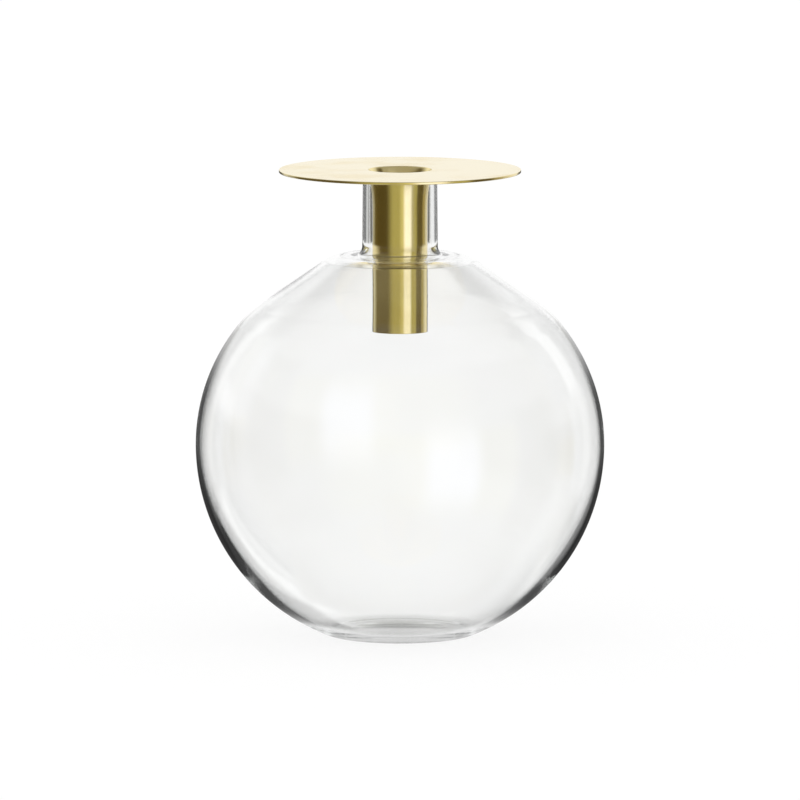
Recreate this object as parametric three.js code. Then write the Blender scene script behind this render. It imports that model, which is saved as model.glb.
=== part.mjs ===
import * as THREE from 'three';

// A round vase in millimetres, +Z up, with its origin on the table under the middle of the globe.
// A clear blown globe stands on a flattened base. A loose brass insert sits on its short neck:
// a thin disc with a tube set into it, which hangs through the neck and holds the stems upright.

// Glass globe, outside
const globeRadius = 90;
const equatorHeight = 84.3;
const crownRise = 86.2; // the upper half is a little flatter than a sphere
const baseRounding = 12;
const kickRadius = 21; // the underside is pushed up a little inside its standing ring
const kickRise = 1.2;
const crownBend = { startRadius: 72, endRadius: 62 }; // where the crown bends into a straight slope
const slope = { radius: 46, height: 156.9, gradient: 0.694 }; // a point on that slope, and how steep it is
const shoulderBend = { startRadius: 34.2, endRadius: 26 }; // where the slope turns flat
const shoulderHeight = 168.2;

// Glass globe, neck and inside
const neckRadiusAtRim = 16.3;
const neckRadiusAtFoot = 16.6;
const neckFootRounding = 4;
const boreRadius = 13.6;
const boreFootRounding = 8.4;
const boreLip = { across: 1.3, down: 6 }; // the bore opens out a little at the rim
const rimHeight = 204.8;
const rimRounding = 0.8;
const equatorWall = 1.6;
const crownWall = 1.3;
const shoulderWall = 1.8;
const floorThickness = 3.1;
const floorRadius = 26;
const lowerPull = { down: 46.5, across: 19 }; // the inside's pull straight down, then level to the floor's edge

// Brass insert
const discRadius = 53.2;
const discThickness = 1.2;
const discEdgeBevel = 0.25;
const tubeRadius = 12.1;
const tubeWall = 0.8;
const tubeLength = 70.3;
const flareDrop = 16; // the tube widens like a trumpet from this far below the rim
const holeRadius = 14; // of the disc's hole, at the underside
const mouthRadius = 14.3; // and at the top, where the tube ends flush
const mouthLip = 0.25;
const tubeEndBevel = 0.2;

// Facets: around the axis, and along each kind of curve in an outline
const turnSegments = 60;
const steps = {
  kick: 3,
  foot: 4,
  lowerHalf: 9,
  lowerInside: 12,
  upperHalf: 6,
  bend: 4,
  neckFoot: 5,
  rim: 2,
  boreLip: 4,
};

const glass = new THREE.MeshStandardMaterial({
  color: 0xf2f5f4,
  roughness: 0.03,
  metalness: 0,
  transparent: true,
  opacity: 0.35,
});
const polishedBrass = new THREE.MeshStandardMaterial({ color: 0xd2b25c, roughness: 0.18, metalness: 1 });
const turnedBrass = new THREE.MeshStandardMaterial({ color: 0xc4a448, roughness: 0.26, metalness: 1 });

const at = (radius, height) => new THREE.Vector2(radius, height);

const { degToRad, radToDeg } = THREE.MathUtils;

// Points along an oval arc in the plane of radius and height, with angles in degrees
function ovalArc(centre, across, up, fromDegrees, toDegrees, count) {
  const from = degToRad(fromDegrees);
  const to = degToRad(toDegrees);
  return new THREE.EllipseCurve(centre.x, centre.y, across, up, from, to, to < from).getPoints(count);
}

const roundArc = (centre, radius, from, to, count) => ovalArc(centre, radius, radius, from, to, count);

// Where an oval about the equator's middle reaches a radius: its angle, its rise and how steep it is there
function ovalAt(across, up, radius) {
  const angle = Math.acos(radius / across);
  return {
    radius,
    degrees: radToDeg(angle),
    rise: up * Math.sin(angle),
    gradient: (up * radius) / (across * across * Math.sin(angle)),
  };
}

// One run of points from several, with the shared end points kept once
function joined(...runs) {
  const outline = [];
  for (const point of runs.flat()) {
    const last = outline.at(-1);
    if (!last || last.distanceTo(point) > 1e-6) outline.push(point);
  }
  return outline;
}

// A soft bend that leaves its start for the corner, and comes to its end from the corner
function bend(start, corner, end) {
  return new THREE.QuadraticBezierCurve(start, corner, end).getPoints(steps.bend);
}

// The crown's end, the straight slope and the turn to the flat shoulder, as deep in the glass as asked
function shoulder(crown, depth) {
  const drop = depth * Math.hypot(1, slope.gradient);
  const apex = slope.height - drop + slope.radius * slope.gradient;
  const onSlope = (radius) => at(radius, apex - radius * slope.gradient);
  const start = at(crown.radius, equatorHeight + crown.rise);
  const crownApex = start.y + crown.radius * crown.gradient;
  const crownCorner = onSlope((crownApex - apex) / (crown.gradient - slope.gradient));
  const flatHeight = shoulderHeight - depth;
  const flatCorner = at((apex - flatHeight) / slope.gradient, flatHeight);
  return joined(
    bend(start, crownCorner, onSlope(crownBend.endRadius - depth)),
    bend(onSlope(shoulderBend.startRadius), flatCorner, at(shoulderBend.endRadius, flatHeight)),
  );
}

function turned(name, outline, material) {
  const geometry = new THREE.LatheGeometry(outline, turnSegments);
  geometry.rotateX(Math.PI / 2);
  const mesh = new THREE.Mesh(geometry, material);
  mesh.name = name;
  return mesh;
}

// From the middle of the underside out over the foot and up the outside to the rim
function globeOutside() {
  const roundingInset = globeRadius - baseRounding;
  const flatRadius = Math.sqrt(roundingInset ** 2 - (equatorHeight - baseRounding) ** 2);
  const footDegrees = radToDeg(Math.atan2(baseRounding - equatorHeight, flatRadius));
  const kickSphere = (kickRadius ** 2 + kickRise ** 2) / (2 * kickRise);
  const kickDegrees = radToDeg(Math.asin(kickRadius / kickSphere));
  const middle = at(0, equatorHeight);
  const crown = ovalAt(globeRadius, crownRise, crownBend.startRadius);
  const neckFootRadius = neckRadiusAtFoot + neckFootRounding;
  const neckFoot = at(neckFootRadius, shoulderHeight + neckFootRounding);
  const rimCentre = at(neckRadiusAtRim - rimRounding, rimHeight - rimRounding);
  return joined(
    roundArc(at(0, kickRise - kickSphere), kickSphere, 90, 90 - kickDegrees, steps.kick),
    roundArc(at(flatRadius, baseRounding), baseRounding, -90, footDegrees, steps.foot),
    roundArc(middle, globeRadius, footDegrees, 0, steps.lowerHalf),
    ovalArc(middle, globeRadius, crownRise, 0, crown.degrees, steps.upperHalf),
    shoulder(crown, 0),
    roundArc(neckFoot, neckFootRounding, -90, -180, steps.neckFoot),
    roundArc(rimCentre, rimRounding, 0, 90, steps.rim),
  );
}

// From the rim down the bore and over the inside to the middle of the floor
function globeInside() {
  const middle = at(0, equatorHeight);
  const across = globeRadius - equatorWall;
  const upperRise = crownRise - crownWall;
  const crown = ovalAt(across, upperRise, crownBend.startRadius - shoulderWall);
  const ceiling = shoulderHeight - shoulderWall;
  const boreFoot = at(boreRadius + boreFootRounding, ceiling + boreFootRounding);
  const lipCentre = at(boreRadius + boreLip.across, rimHeight - boreLip.down);
  const lowerInside = new THREE.CubicBezierCurve(
    at(across, equatorHeight),
    at(across, equatorHeight - lowerPull.down),
    at(floorRadius + lowerPull.across, floorThickness),
    at(floorRadius, floorThickness),
  );
  return joined(
    ovalArc(lipCentre, boreLip.across, boreLip.down, 90, 180, steps.boreLip),
    roundArc(boreFoot, boreFootRounding, 180, 270, steps.neckFoot),
    shoulder(crown, shoulderWall).reverse(),
    ovalArc(middle, across, upperRise, crown.degrees, 0, steps.upperHalf),
    lowerInside.getPoints(steps.lowerInside),
    [at(0, floorThickness)],
  );
}

// A flat disc that rests on the rim, with a hole that widens upwards with the tube
function discOutline() {
  const underside = rimHeight;
  const top = rimHeight + discThickness;
  const bevelRadius = discRadius - discEdgeBevel;
  return joined([
    at(holeRadius, underside),
    at(bevelRadius, underside),
    at(discRadius, underside + discEdgeBevel),
    at(discRadius, top - discEdgeBevel),
    at(bevelRadius, top),
    at(mouthRadius, top),
    at(holeRadius, underside),
  ]);
}

// A straight tube, open at both ends, whose top is flared out to end flush with the disc
function tubeOutline() {
  const top = rimHeight + discThickness;
  const bottom = top - tubeLength;
  const insideRadius = tubeRadius - tubeWall;
  const flareFoot = rimHeight - flareDrop;
  const flareMiddle = rimHeight - flareDrop / 2;
  const lip = at(mouthRadius - mouthLip, top);
  return joined(
    [
      at(insideRadius + tubeEndBevel, bottom),
      at(tubeRadius - tubeEndBevel, bottom),
      at(tubeRadius, bottom + tubeEndBevel),
    ],
    bend(at(tubeRadius, flareFoot), at(tubeRadius, flareMiddle), at(holeRadius, rimHeight)),
    [at(mouthRadius, top)],
    bend(lip, at(insideRadius, flareMiddle), at(insideRadius, flareFoot)),
    [at(insideRadius, bottom + tubeEndBevel), at(insideRadius + tubeEndBevel, bottom)],
  );
}

const insert = new THREE.Group();
insert.add(turned('insert_disc', discOutline(), polishedBrass));
insert.add(turned('stem_tube', tubeOutline(), turnedBrass));

const vase = new THREE.Group();
vase.add(turned('glass_globe', joined(globeOutside(), globeInside()), glass));
vase.add(insert);

export default vase;
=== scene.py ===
import math

import bmesh
import bpy
from mathutils import Matrix, Vector
from mathutils.geometry import interpolate_bezier


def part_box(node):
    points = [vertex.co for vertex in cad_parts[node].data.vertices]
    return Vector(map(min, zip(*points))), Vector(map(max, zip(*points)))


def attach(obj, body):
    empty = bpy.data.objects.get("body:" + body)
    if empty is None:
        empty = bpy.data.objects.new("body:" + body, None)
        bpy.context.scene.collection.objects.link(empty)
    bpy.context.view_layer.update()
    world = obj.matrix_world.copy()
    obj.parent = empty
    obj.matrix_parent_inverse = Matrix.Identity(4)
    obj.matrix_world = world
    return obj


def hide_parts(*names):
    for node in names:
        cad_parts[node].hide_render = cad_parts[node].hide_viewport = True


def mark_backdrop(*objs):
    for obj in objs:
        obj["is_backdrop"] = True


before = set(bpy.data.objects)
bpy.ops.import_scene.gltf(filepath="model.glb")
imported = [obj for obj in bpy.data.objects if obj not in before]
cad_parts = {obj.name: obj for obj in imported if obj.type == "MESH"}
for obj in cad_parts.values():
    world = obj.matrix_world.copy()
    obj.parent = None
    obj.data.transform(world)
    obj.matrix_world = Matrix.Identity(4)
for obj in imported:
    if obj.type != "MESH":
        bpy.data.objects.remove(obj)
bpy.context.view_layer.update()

# A clear glass globe vase with a loose brass insert, in metres, standing on z = 0
scene = bpy.context.scene
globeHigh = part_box("glass_globe")[1]
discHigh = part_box("insert_disc")[1]
tubeLow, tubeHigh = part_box("stem_tube")
rimHeight = globeHigh.z
discTop = discHigh.z
mm = 0.001
hold = 0.3 * mm  # from the end of a straight run to the vertex that keeps its shading straight
sliver = 0.03 * mm  # between a softened corner and such a vertex
weld = 0.0001 * mm  # vertices closer than this become one
creaseAngle = math.radians(35)
print("frame loaded, rim at", round(rimHeight / mm, 2), "mm")


class Outline:
    # a wire in the XZ plane that grows from its last vertex, to be spun about the Z axis
    def __init__(self, x, z):
        self.mesh = bmesh.new()
        self.end = self.mesh.verts.new((x, 0, z))
        self.start = self.end

    # guard puts a vertex that far from each end, so that smooth shading keeps the run straight
    def lineTo(self, x, z, guard=0.0):
        first = self.end.co.copy()
        last = Vector((x, 0, z))
        inset = (last - first).normalized() * guard
        for stop in [first + inset, last - inset, last] if guard else [last]:
            grown = bmesh.ops.extrude_vert_indiv(self.mesh, verts=[self.end])
            self.end = grown["verts"][0]
            self.end.co = stop
        return self.end

    # one soft curve that leaves towards its first pull and arrives from its last
    def curveTo(self, firstPull, lastPull, end, steps):
        for point in interpolate_bezier(self.end.co.xz, firstPull, lastPull, end, steps + 1)[1:]:
            self.lineTo(*point)

    # a bend that leaves towards a corner and arrives from it, each pull two thirds of the way there
    def bendTo(self, corner, end, steps):
        pulls = [Vector(knot).lerp(Vector(corner), 2 / 3) for knot in (self.end.co.xz, end)]
        self.curveTo(*pulls, Vector(end), steps)

    # round a centre, anticlockwise for positive degrees; flatten makes the arc an oval
    def roundAbout(self, x, z, degrees, steps, flatten=1.0):
        first = self.end
        centre = Vector((x, 0, z))
        toCentre = Matrix.Translation(-centre)
        bmesh.ops.scale(self.mesh, vec=(1, 1, 1 / flatten), space=toCentre, verts=[first])
        before = set(self.mesh.verts)
        swept = bmesh.ops.spin(self.mesh, geom=[first], cent=centre, axis=(0, -1, 0),
                               angle=math.radians(degrees), steps=steps)
        self.end = swept["geom_last"][0]
        arc = [first] + [vert for vert in self.mesh.verts if vert not in before]
        bmesh.ops.scale(self.mesh, vec=(1, 1, flatten), space=toCentre, verts=arc)

    # straight back to the first vertex, with the same guard
    def close(self, guard):
        first = self.start.co
        last = self.end.co.copy()
        inset = (first - last).normalized() * guard
        self.lineTo(*(last + inset).xz)
        self.lineTo(*(first - inset).xz)
        self.mesh.edges.new((self.end, self.start))

    def soften(self, corner, reach, steps):
        bmesh.ops.bevel(self.mesh, geom=[corner], offset=reach, offset_type="OFFSET", affect="VERTICES",
                        segments=steps, profile=0.5, material=-1)

    def turn(self, name, segments, material):
        mesh = self.mesh
        bmesh.ops.spin(mesh, geom=mesh.verts[:] + mesh.edges[:], cent=(0, 0, 0), axis=(0, 0, 1),
                       angle=math.tau, steps=segments, use_merge=True)
        bmesh.ops.remove_doubles(mesh, verts=mesh.verts[:], dist=weld)
        bmesh.ops.recalc_face_normals(mesh, faces=mesh.faces[:])
        for face in mesh.faces:
            face.smooth = True
        for edge in mesh.edges:
            edge.smooth = edge.calc_face_angle(0) < creaseAngle
        return newObject(name, mesh, material)


def newObject(name, mesh, material):
    data = bpy.data.meshes.new(name)
    mesh.to_mesh(data)
    mesh.free()
    data.materials.append(material)
    piece = bpy.data.objects.new(name, data)
    scene.collection.objects.link(piece)
    return piece


class Wire:
    # one socket in a node tree; arithmetic on it adds Math nodes
    def __init__(self, tree, socket=None):
        self.tree = tree
        self.socket = socket

    # any node: its settings are set first, then its sockets are given values or links
    def add(self, kind, settings=None, sockets=None, output=0):
        node = self.tree.nodes.new(kind)
        for key, value in (settings or {}).items():
            setattr(node, key, value)
        for key, value in (sockets or {}).items():
            if isinstance(value, Wire):
                self.tree.links.new(value.socket, node.inputs[key])
            else:
                node.inputs[key].default_value = value
        return Wire(self.tree, node.outputs[output] if node.outputs else None)

    def maths(self, operation, *values):
        return self.add("ShaderNodeMath", {"operation": operation}, dict(enumerate(values)))

    def __add__(self, other):
        return self.maths("ADD", self, other)

    def __radd__(self, other):
        return self.maths("ADD", other, self)

    def __sub__(self, other):
        return self.maths("SUBTRACT", self, other)

    def __rsub__(self, other):
        return self.maths("SUBTRACT", other, self)

    def __mul__(self, other):
        return self.maths("MULTIPLY", self, other)

    def __rmul__(self, other):
        return self.maths("MULTIPLY", other, self)

    # 0 below low, 1 above high, and soft between
    def rise(self, low, high):
        return self.add("ShaderNodeMapRange", {"interpolation_type": "SMOOTHSTEP"},
                        {"Value": self, "From Min": low, "From Max": high})

    # 1 between low and high, with edges as wide as soft
    def between(self, low, high, soft):
        return self.rise(low - soft / 2, low + soft / 2) * (1 - self.rise(high - soft / 2, high + soft / 2))

    # every output of the node that this socket is on
    def siblings(self):
        return {socket.name: Wire(self.tree, socket) for socket in self.socket.node.outputs}

    def parts(self):
        return list(self.add("ShaderNodeSeparateXYZ", sockets={0: self}).siblings().values())

    # a Mix node keeps its colours in sockets 6 and 7, and gives the mixed one as output 2
    def mix(self, first, second):
        return self.add("ShaderNodeMix", {"data_type": "RGBA"}, {0: self, 6: first, 7: second}, output=2)


def newMaterial(name):
    material = bpy.data.materials.new(name)
    material.use_nodes = True
    material.node_tree.nodes.clear()
    return material, Wire(material.node_tree)


def objectCoordinates(start):
    return start.add("ShaderNodeTexCoord", output="Object")


def noise(coordinates, scale, detail, stretch=(1, 1, 1)):
    placed = coordinates.add("ShaderNodeMapping", sockets={"Vector": coordinates, "Scale": stretch})
    return coordinates.add("ShaderNodeTexNoise", sockets={
        "Vector": placed, "Scale": scale, "Detail": detail})


def grey(level):
    return level, level, level, 1


# Clear blown glass: even and polished, with the slow waves that blowing leaves and faint smears
clearGlass = {
    "colour": (0.985, 0.99, 0.985, 1), "thinColour": grey(1), "ior": 1.5, "roughness": 0.0,
    "waveScale": 22, "waveDetail": 1.5, "waveStretch": (1, 1, 1.6),
    "waveHeight": 0.12 * mm, "waveStrength": 0.25,
    "smearScale": 60, "smearDetail": 3, "smearStretch": (1, 1, 0.5),
    "smearFrom": 0.56, "smearFull": 0.75, "smearRoughness": 0.012,
    "tint": (0.84, 0.87, 0.86, 1), "density": 10.0,
}


def glassMaterial(name, look):
    material, start = newMaterial(name)
    coordinates = objectCoordinates(start)
    waves = noise(coordinates, look["waveScale"], look["waveDetail"], look["waveStretch"])
    smears = noise(coordinates, look["smearScale"], look["smearDetail"], look["smearStretch"])
    smears = smears.rise(look["smearFrom"], look["smearFull"])
    bump = start.add("ShaderNodeBump", sockets={
        "Strength": look["waveStrength"], "Distance": look["waveHeight"], "Height": waves})
    glass = start.add("ShaderNodeBsdfPrincipled", sockets={
        "Base Color": waves.mix(look["colour"], look["thinColour"]),
        "Roughness": look["roughness"] + smears * look["smearRoughness"],
        "IOR": look["ior"], "Transmission Weight": 1.0, "Normal": bump})
    inside = start.add("ShaderNodeVolumeAbsorption", sockets={
        "Color": look["tint"], "Density": look["density"]})
    start.add("ShaderNodeOutputMaterial", sockets={"Surface": glass, "Volume": inside})
    return material


# Polished brass, with the lines that the lathe left on the disc and the draw bench on the tube
discBrass = {
    "colour": (0.90, 0.77, 0.43, 1), "deepColour": (0.86, 0.70, 0.34, 1), "roughness": 0.10,
    "rings": True, "lineScale": 1400, "lineDetail": 3, "lineStretch": (1, 1, 1),
    "lineHeight": 0.02 * mm, "lineStrength": 0.12, "lineRoughness": 0.08, "smearRoughness": 0.08,
}
tubeBrass = {
    "colour": (0.91, 0.78, 0.42, 1), "deepColour": (0.82, 0.66, 0.28, 1), "roughness": 0.06,
    "rings": False, "lineScale": 420, "lineDetail": 3, "lineStretch": (1, 1, 0.02),
    "lineHeight": 0.03 * mm, "lineStrength": 0.18, "lineRoughness": 0.06, "smearRoughness": 0.07,
}
# What handling leaves on both: soft smears and fine specks, a little deeper in colour
brassWear = {
    "smearScale": 45, "smearDetail": 4, "smearFrom": 0.42, "smearFull": 0.72, "smearColour": 0.6,
    "speckScale": 900, "speckDetail": 1, "speckFrom": 0.70, "speckFull": 0.78, "speckColour": 0.5,
    "speckDepth": 0.5,
}


# the same all the way round the axis, so that a pattern makes rings
def roundTheAxis(coordinates):
    x, y, z = coordinates.parts()
    radius = coordinates.maths("SQRT", x * x + y * y)
    return coordinates.add("ShaderNodeCombineXYZ", sockets={"X": radius, "Y": 0.0, "Z": z})


def brassMaterial(name, look):
    material, start = newMaterial(name)
    coordinates = objectCoordinates(start)
    lineCoordinates = roundTheAxis(coordinates) if look["rings"] else coordinates
    lines = noise(lineCoordinates, look["lineScale"], look["lineDetail"], look["lineStretch"])
    smears = noise(coordinates, brassWear["smearScale"], brassWear["smearDetail"])
    smears = smears.rise(brassWear["smearFrom"], brassWear["smearFull"])
    specks = noise(coordinates, brassWear["speckScale"], brassWear["speckDetail"])
    specks = specks.rise(brassWear["speckFrom"], brassWear["speckFull"])
    bump = start.add("ShaderNodeBump", sockets={
        "Strength": look["lineStrength"], "Distance": look["lineHeight"],
        "Height": lines - specks * brassWear["speckDepth"]})
    worn = smears * brassWear["smearColour"] + specks * brassWear["speckColour"]
    metal = start.add("ShaderNodeBsdfPrincipled", sockets={
        "Base Color": start.maths("MINIMUM", worn, 1.0).mix(look["colour"], look["deepColour"]),
        "Metallic": 1.0,
        "Roughness": look["roughness"] + lines * look["lineRoughness"] + smears * look["smearRoughness"],
        "Normal": bump})
    start.add("ShaderNodeOutputMaterial", sockets={"Surface": metal})
    return material


glass = glassMaterial("clearGlass", clearGlass)
discMetal = brassMaterial("discBrass", discBrass)
tubeMetal = brassMaterial("tubeBrass", tubeBrass)
print("materials made")

# The glass globe, blown in one piece: a turned wall, thin at the crown and thick at the base
globe = {
    "radius": globeHigh.x, "equator": 84.3 * mm, "crownRise": 86.2 * mm, "baseRounding": 12 * mm,
    "kickRadius": 21 * mm, "kickRise": 1.2 * mm,
    "crownStart": 72 * mm, "slopeRadius": 46 * mm, "slopeHeight": 156.9 * mm, "gradient": 0.694,
    "crownReach": 5.5 * mm, "shoulderReach": 4.2 * mm, "shoulderHeight": 168.2 * mm,
    "neckAtRim": 16.3 * mm, "neckAtFoot": 16.6 * mm, "neckFootRounding": 4 * mm,
    "bore": 13.6 * mm, "boreFootRounding": 8.4 * mm, "lipAcross": 1.3 * mm, "lipDown": 6 * mm,
    "rimRounding": 0.8 * mm, "rimHold": 0.15 * mm,
    "equatorWall": 1.6 * mm, "crownWall": 1.3 * mm, "shoulderWall": 1.8 * mm,
    "pullDown": 46.5 * mm, "pullAcross": 19 * mm, "floorRadius": 26 * mm, "floor": 3.1 * mm,
    "segments": 256,
    "steps": {"kick": 8, "foot": 10, "lower": 40, "upper": 24, "neckFoot": 10, "rim": 6, "lip": 12,
              "boreFoot": 14, "inside": 60, "crownBend": 8, "shoulderBend": 10},
}


# where an oval reaches a radius: degrees along its circle, rise, and gradient there
def ovalAt(across, up, radius):
    angle = math.acos(radius / across)
    gradient = up * radius / (across * across * math.sin(angle))
    return math.degrees(angle), up * math.sin(angle), gradient


# the two corners of the straight slope under the shoulder, at a depth in the glass
def slopeCorners(depth, crownRadius, crownHeight, crownGradient):
    apex = globe["slopeHeight"] - depth * math.hypot(1, globe["gradient"])
    apex += globe["slopeRadius"] * globe["gradient"]
    flat = globe["shoulderHeight"] - depth
    crownApex = crownHeight + crownRadius * crownGradient
    low = (crownApex - apex) / (crownGradient - globe["gradient"])
    high = (apex - flat) / globe["gradient"]
    return (low, apex - low * globe["gradient"]), (high, flat)


# from the middle of the underside over the foot and up the outside to the rim; gives the two corners
def growOutside(line):
    radius = globe["radius"]
    equator = globe["equator"]
    steps = globe["steps"]
    kickSphere = (globe["kickRadius"] ** 2 + globe["kickRise"] ** 2) / (2 * globe["kickRise"])
    kickDegrees = math.degrees(math.asin(globe["kickRadius"] / kickSphere))
    rounding = globe["baseRounding"]
    flatRadius = math.sqrt((radius - rounding) ** 2 - (equator - rounding) ** 2)
    footDegrees = math.degrees(math.atan2(equator - rounding, flatRadius))
    line.roundAbout(0, globe["kickRise"] - kickSphere, -kickDegrees, steps["kick"])
    line.lineTo(flatRadius, 0, hold)
    line.roundAbout(flatRadius, rounding, 90 - footDegrees, steps["foot"])
    line.roundAbout(0, equator, footDegrees, steps["lower"])
    degrees, rise, gradient = ovalAt(radius, globe["crownRise"], globe["crownStart"])
    line.roundAbout(0, equator, degrees, steps["upper"], globe["crownRise"] / radius)
    low, high = slopeCorners(0, globe["crownStart"], equator + rise, gradient)
    crown = line.lineTo(*low)
    shoulder = line.lineTo(*high, globe["crownReach"] + hold)
    footRounding = globe["neckFootRounding"]
    footRadius = globe["neckAtFoot"] + footRounding
    line.lineTo(footRadius + hold, globe["shoulderHeight"])
    line.lineTo(footRadius, globe["shoulderHeight"])
    line.roundAbout(footRadius, globe["shoulderHeight"] + footRounding, -90, steps["neckFoot"])
    rim = globe["rimRounding"]
    line.lineTo(globe["neckAtRim"], rimHeight - rim, hold)
    line.roundAbout(globe["neckAtRim"] - rim, rimHeight - rim, 90, steps["rim"])
    return crown, shoulder


# from the rim down the bore and over the inside to the middle of the floor; gives the two corners
def growInside(line):
    equator = globe["equator"]
    steps = globe["steps"]
    lipRadius = globe["bore"] + globe["lipAcross"]
    lipShape = globe["lipDown"] / globe["lipAcross"]
    line.lineTo(lipRadius, rimHeight, globe["rimHold"])
    line.roundAbout(lipRadius, rimHeight - globe["lipDown"], 90, steps["lip"], lipShape)
    ceiling = globe["shoulderHeight"] - globe["shoulderWall"]
    rounding = globe["boreFootRounding"]
    line.lineTo(globe["bore"], ceiling + rounding, hold)
    line.roundAbout(globe["bore"] + rounding, ceiling + rounding, 90, steps["boreFoot"])
    across = globe["radius"] - globe["equatorWall"]
    upperRise = globe["crownRise"] - globe["crownWall"]
    crownRadius = globe["crownStart"] - globe["shoulderWall"]
    degrees, rise, gradient = ovalAt(across, upperRise, crownRadius)
    low, high = slopeCorners(globe["shoulderWall"], crownRadius, equator + rise, gradient)
    line.lineTo(globe["bore"] + rounding + hold, ceiling)
    shoulder = line.lineTo(*high)
    crown = line.lineTo(*low, globe["crownReach"] + hold)
    line.lineTo(crownRadius, equator + rise)
    line.roundAbout(0, equator, -degrees, steps["upper"], upperRise / across)
    floorEdge = Vector((globe["floorRadius"], globe["floor"]))
    downPull = (across, equator - globe["pullDown"])
    levelPull = floorEdge + Vector((globe["pullAcross"], 0))
    line.curveTo(downPull, levelPull, floorEdge, steps["inside"])
    line.lineTo(globe["floorRadius"] - hold, globe["floor"])
    line.lineTo(0, globe["floor"])
    return crown, shoulder


def buildGlobe():
    line = Outline(0, globe["kickRise"])
    outerCrown, outerShoulder = growOutside(line)
    innerCrown, innerShoulder = growInside(line)
    for corner in (outerCrown, innerCrown):
        line.soften(corner, globe["crownReach"], globe["steps"]["crownBend"])
    for corner in (outerShoulder, innerShoulder):
        line.soften(corner, globe["shoulderReach"], globe["steps"]["shoulderBend"])
    return line.turn("glassGlobe", globe["segments"], glass)


# The brass disc, flat, with softly broken edges and a hole that widens upwards with the tube
disc = {"bevel": 0.25 * mm, "bevelSteps": 4, "hole": 14 * mm, "mouth": tubeHigh.x, "segments": 256}


def buildDisc():
    line = Outline(disc["hole"], rimHeight)
    guard = disc["bevel"] + sliver
    underEdge = line.lineTo(discHigh.x, rimHeight, guard)
    topEdge = line.lineTo(discHigh.x, discTop, guard)
    line.lineTo(disc["mouth"], discTop, guard)
    line.close(hold)
    for corner in (underEdge, topEdge):
        line.soften(corner, disc["bevel"], disc["bevelSteps"])
    return line.turn("insertDisc", disc["segments"], discMetal)


# The brass tube, open at both ends, its top flared like a trumpet to end flush with the disc
tube = {
    "radius": 12.1 * mm, "wall": 0.8 * mm, "flareDrop": 16 * mm, "flareSteps": 24,
    "lip": 0.25 * mm, "lipSoftness": 1 / 3, "endBevel": 0.2 * mm, "bevelSteps": 3, "segments": 192,
}


def buildTube():
    radius = tube["radius"]
    inside = radius - tube["wall"]
    flareFoot = rimHeight - tube["flareDrop"]
    flareMiddle = rimHeight - tube["flareDrop"] / 2
    line = Outline(inside, tubeLow.z)
    innerEnd = line.start
    outerEnd = line.lineTo(radius, tubeLow.z, tube["endBevel"] + sliver)
    line.lineTo(radius, flareFoot, hold)
    line.bendTo((radius, flareMiddle), (disc["hole"], rimHeight), tube["flareSteps"])
    line.lineTo(disc["mouth"], discTop)
    lip = line.lineTo(disc["mouth"] - tube["lip"], discTop)
    line.bendTo((inside, flareMiddle), (inside, flareFoot), tube["flareSteps"])
    line.close(hold)
    for corner in (innerEnd, outerEnd):
        line.soften(corner, tube["endBevel"], tube["bevelSteps"])
    line.soften(lip, tube["lip"] * tube["lipSoftness"], tube["bevelSteps"])
    return line.turn("stemTube", tube["segments"], tubeMetal)


pieces = {
    "glass_globe": (buildGlobe(), "vessel", "clear_glass"),
    "insert_disc": (buildDisc(), "insert", "disc_brass"),
    "stem_tube": (buildTube(), "insert", "tube_brass"),
}
for node, (piece, body, slot) in pieces.items():
    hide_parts(node)
    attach(piece, body)
    print(piece.name, len(piece.data.polygons), "faces, rides on", body)

# The floor: white and matt, with the vase's shadow. Metal and glass show it only close to the base,
# where it is a painted shadow: a flat grey glow in place of the base's shade, and clear further out.
floorLook = {
    "size": 60.0, "albedo": 0.12, "glow": 0.89, "paintedShadow": 0.28, "seenTo": 18 * mm, "goneAt": 44 * mm,
    "gap": 0.1 * mm,  # the base stands this far above it
}


# 1 where a ray has just left metal or glass
def mirroredRays(start):
    rays = start.add("ShaderNodeLightPath").siblings()
    return start.maths("MINIMUM", rays["Is Glossy Ray"] + rays["Is Transmission Ray"], 1.0)


def floorMaterial(look):
    material, start = newMaterial("floorWhite")
    x, y = objectCoordinates(start).parts()[:2]
    far =start.maths("SQRT", x * x + y * y).rise(look["seenTo"], look["goneAt"])
    mirrored = mirroredRays(start)
    matt = start.add("ShaderNodeBsdfDiffuse", sockets={"Color": grey(look["albedo"])})
    glow = start.add("ShaderNodeEmission", sockets={"Strength": look["glow"]})
    bright = start.add("ShaderNodeAddShader", sockets={0: matt, 1: glow})
    # painted shadow: a flat grey glow that metal and glass see under the base, fading out from seenTo to
    # goneAt
    shade = start.add("ShaderNodeEmission", sockets={"Strength": look["paintedShadow"]})
    clear = start.add("ShaderNodeBsdfTransparent")
    throughGlass = start.add("ShaderNodeMixShader", sockets={0: far, 1: shade, 2: clear})
    surface = start.add("ShaderNodeMixShader", sockets={0: mirrored, 1: bright, 2: throughGlass})
    start.add("ShaderNodeOutputMaterial", sockets={"Surface": surface})
    return material


def buildFloor():
    mesh = bmesh.new()
    bmesh.ops.create_grid(mesh, x_segments=2, y_segments=2, size=floorLook["size"],
                          matrix=Matrix.Translation((0, 0, -floorLook["gap"])))
    floor = newObject("floor", mesh, floorMaterial(floorLook))
    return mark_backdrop(floor)


buildFloor()

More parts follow.
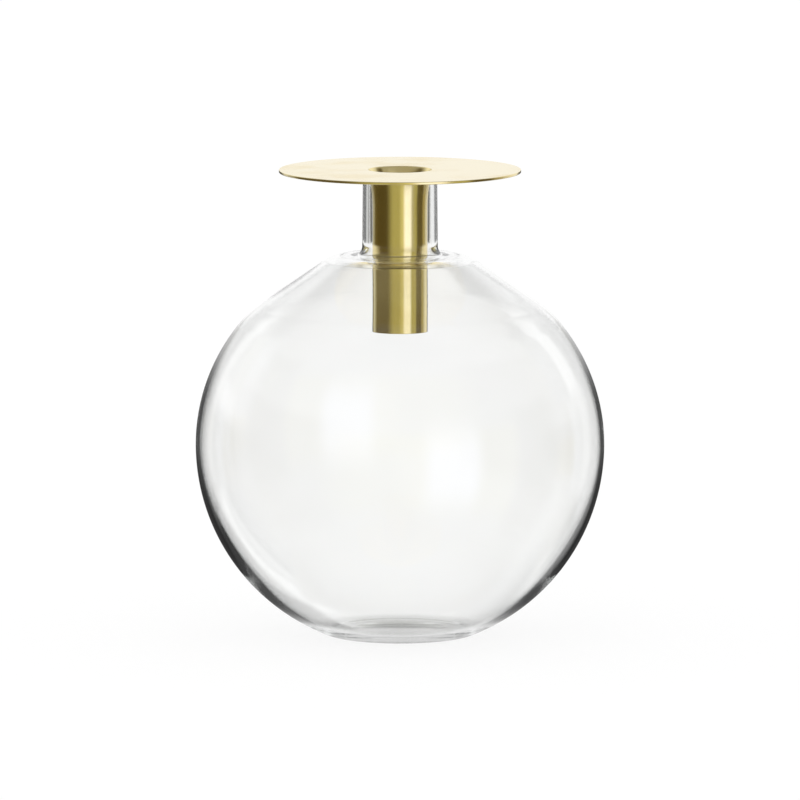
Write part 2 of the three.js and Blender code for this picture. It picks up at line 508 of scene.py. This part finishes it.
# The studio as polished surfaces mirror it: an even room with a window, reflectors, dim sides and cards.
# Bearings and elevations are in degrees, bearing 0 towards the camera and 90 to its right.
studio = {
    "even": (0.42, 0.41, 0.38, 1), "softRise": 5.0,
    "ceilingBack": grey(1), "ceilingFoot": 1.0, "ceilingFull": 9.0, "turn": (80, 130),
    "zenith": (0.38, 0.37, 0.34, 1), "zenithFrom": 27.0, "zenithTo": 44.0,
    "nadir": (0.55, 0.55, 0.54, 1), "nadirFrom": -52.0, "nadirTo": -66.0,
}
dim = (0.095, 0.072, 0.024, 1)
white = grey(1)
panels = [
    # the room at eye level, its warm front and its dim sides
    {"bearing": 0, "half": 190, "soft": 5, "low": -14, "high": 0, "light": (0.41, 0.365, 0.21, 1)},
    {"bearing": 5, "half": 70, "soft": 20, "low": -34, "high": 14, "softRise": 10,
     "light": (0.46, 0.43, 0.19, 1)},
    {"bearing": -82, "half": 42, "soft": 34, "low": -40, "high": 20, "light": dim},
    {"bearing": 86, "half": 15, "soft": 10, "low": -40, "high": 20, "light": dim},
    # the window, with the wall that it lights
    {"bearing": 15, "half": 12, "soft": 20, "low": -30, "high": 10, "softRise": 16,
     "light": (0.73, 0.69, 0.37, 1)},
    {"bearing": 31, "half": 15, "soft": 11, "low": -28, "high": 14, "softRise": 26,
     "light": (1.25, 1.28, 1.45, 1)},
    # the white back, from the floor up
    {"bearing": 180, "half": 40, "soft": 10, "low": -95, "high": 3, "light": white},
    {"bearing": 180, "half": 10, "soft": 6, "low": 0, "high": 10, "light": white},
    # reflectors right and left of it
    {"bearing": 137, "half": 20, "soft": 6, "low": -20, "high": 8, "light": grey(0.75)},
    {"bearing": 143, "half": 14, "soft": 6, "low": -20, "high": 8, "light": grey(0.95)},
    {"bearing": -136, "half": 16, "soft": 6, "low": -20, "high": 8, "light": (0.40, 0.40, 0.39, 1)},
    {"bearing": -143, "half": 9, "soft": 6, "low": -20, "high": 8, "light": (0.68, 0.68, 0.67, 1)},
    # cards near the floor, the left one with a white strip
    {"bearing": 140, "half": 25, "soft": 10, "low": -62, "high": -38, "light": grey(0.35)},
    {"bearing": -135, "half": 30, "soft": 8, "low": -50, "high": -18, "light": grey(0.04)},
    {"bearing": -135, "half": 9, "soft": 6, "low": -50, "high": -18, "light": white},
]
# What shows through the glass: a white backdrop all round, with an upright dark card between every two
# lamps. Mirrored, it has one card on either side of the back's middle.
backdrop = {
    "light": grey(1.04), "shade": grey(0.075), "eyeLine": -7.25,
    "halfTurn": 22.5, "cardFrom": 14.0, "cardFull": 21.0, "headGone": -32.0, "head": -11.0,
    "foot": 48.0, "footGone": 70.0,
    "mirrorFrom": 1.5, "mirrorFull": 4.5, "mirrorHeadGone": -50.0, "mirrorHead": -12.0,
    "leftTo": 24.0, "leftGone": 38.0, "rightTo": 21.0, "rightGone": 34.0,
}


def buildStudio():
    world = bpy.data.worlds.new("studio")
    world.use_nodes = True
    world.node_tree.nodes.clear()
    scene.world = world
    start = Wire(world.node_tree)
    x, y, z = start.add("ShaderNodeTexCoord", output="Generated").parts()
    inDegrees = math.degrees(1)
    elevation = start.maths("ARCSINE", z) * inDegrees

    # the bearing of a direction, counted from a panel's own
    def bearingFrom(degrees):
        turn = math.radians(degrees)
        along = x * math.sin(turn) - y * math.cos(turn)
        aside = x * math.cos(turn) + y * math.sin(turn)
        return start.maths("ARCTAN2", aside, along) * inDegrees

    # a card's dark, by the way a line of sight is bent: sideways is dark, steeply up or down is white
    def cardShade(sideways, headGone, head):
        bent = start.maths("ARCTAN2", backdrop["eyeLine"] - elevation, sideways) * inDegrees
        return bent.rise(headGone, head) * (1 - bent.rise(backdrop["foot"], backdrop["footGone"]))

    # what metal and glass mirror: the panels, the cards at the back, then the ceiling, zenith and nadir
    mirrored = studio["even"]
    for panel in panels:
        inside = bearingFrom(panel["bearing"]).between(-panel["half"], panel["half"], panel["soft"])
        softRise = panel.get("softRise", studio["softRise"])
        inside = inside * elevation.between(panel["low"], panel["high"], softRise)
        mirrored = inside.mix(mirrored, panel["light"])
    leftOfBack = bearingFrom(180)
    fromBack = start.maths("ABSOLUTE", leftOfBack)
    backCard = cardShade(fromBack, backdrop["mirrorHeadGone"], backdrop["mirrorHead"])
    backCard = backCard * fromBack.rise(backdrop["mirrorFrom"], backdrop["mirrorFull"])
    backCard = backCard * (1 - leftOfBack.rise(backdrop["leftTo"], backdrop["leftGone"]))
    backCard = backCard * leftOfBack.rise(-backdrop["rightGone"], -backdrop["rightTo"])
    mirrored = backCard.mix(mirrored, backdrop["shade"])
    towardsBack = start.maths("ABSOLUTE", bearingFrom(0)).rise(*studio["turn"])
    ceiling = elevation.rise(studio["ceilingFoot"], studio["ceilingFull"]) * towardsBack
    mirrored = ceiling.mix(mirrored, studio["ceilingBack"])
    mirrored = elevation.rise(studio["zenithFrom"], studio["zenithTo"]).mix(mirrored, studio["zenith"])
    mirrored = elevation.rise(studio["nadirTo"], studio["nadirFrom"]).mix(studio["nadir"], mirrored)

    # what shows through the glass, and plain white for the camera
    fromLamp = start.maths("PINGPONG", bearingFrom(0), backdrop["halfTurn"])
    card = cardShade(fromLamp, backdrop["headGone"], backdrop["head"])
    card = card * fromLamp.rise(backdrop["cardFrom"], backdrop["cardFull"])
    through = card.mix(backdrop["light"], backdrop["shade"])
    glossyDepth = start.add("ShaderNodeLightPath").siblings()["Glossy Depth"]
    bounced = start.maths("MINIMUM", glossyDepth, 1.0)
    seen = mirroredRays(start).mix(white, bounced.mix(through, mirrored))
    light = start.add("ShaderNodeBackground", sockets={"Color": seen, "Strength": 1.0})
    start.add("ShaderNodeOutputWorld", sockets={"Surface": light})


buildStudio()
print("floor and studio made")

# The camera stands far back and a little above, as for a product picture taken with a long lens
view = {"distance": 5.0, "elevation": 7.25, "target": 103.9 * mm, "lens": 511.0, "sensor": 36.0}


def buildCamera():
    data = bpy.data.cameras.new("camera")
    data.lens = view["lens"]
    data.sensor_width = view["sensor"]
    camera = bpy.data.objects.new("camera", data)
    scene.collection.objects.link(camera)
    tilt = math.radians(view["elevation"])
    back = Vector((0, -math.cos(tilt), math.sin(tilt)))
    camera.location = Vector((0, 0, view["target"])) + back * view["distance"]
    camera.rotation_euler = (math.pi / 2 - tilt, 0, 0)
    scene.camera = camera


buildCamera()
scene.view_settings.view_transform = "Standard"
bounces = {"all": 32, "through": 32, "mirrored": 24}  # light runs a long way inside the wall of the glass
scene.cycles.max_bounces = bounces["all"]
scene.cycles.transmission_bounces = bounces["through"]
scene.cycles.glossy_bounces = bounces["mirrored"]

print("scene ready")
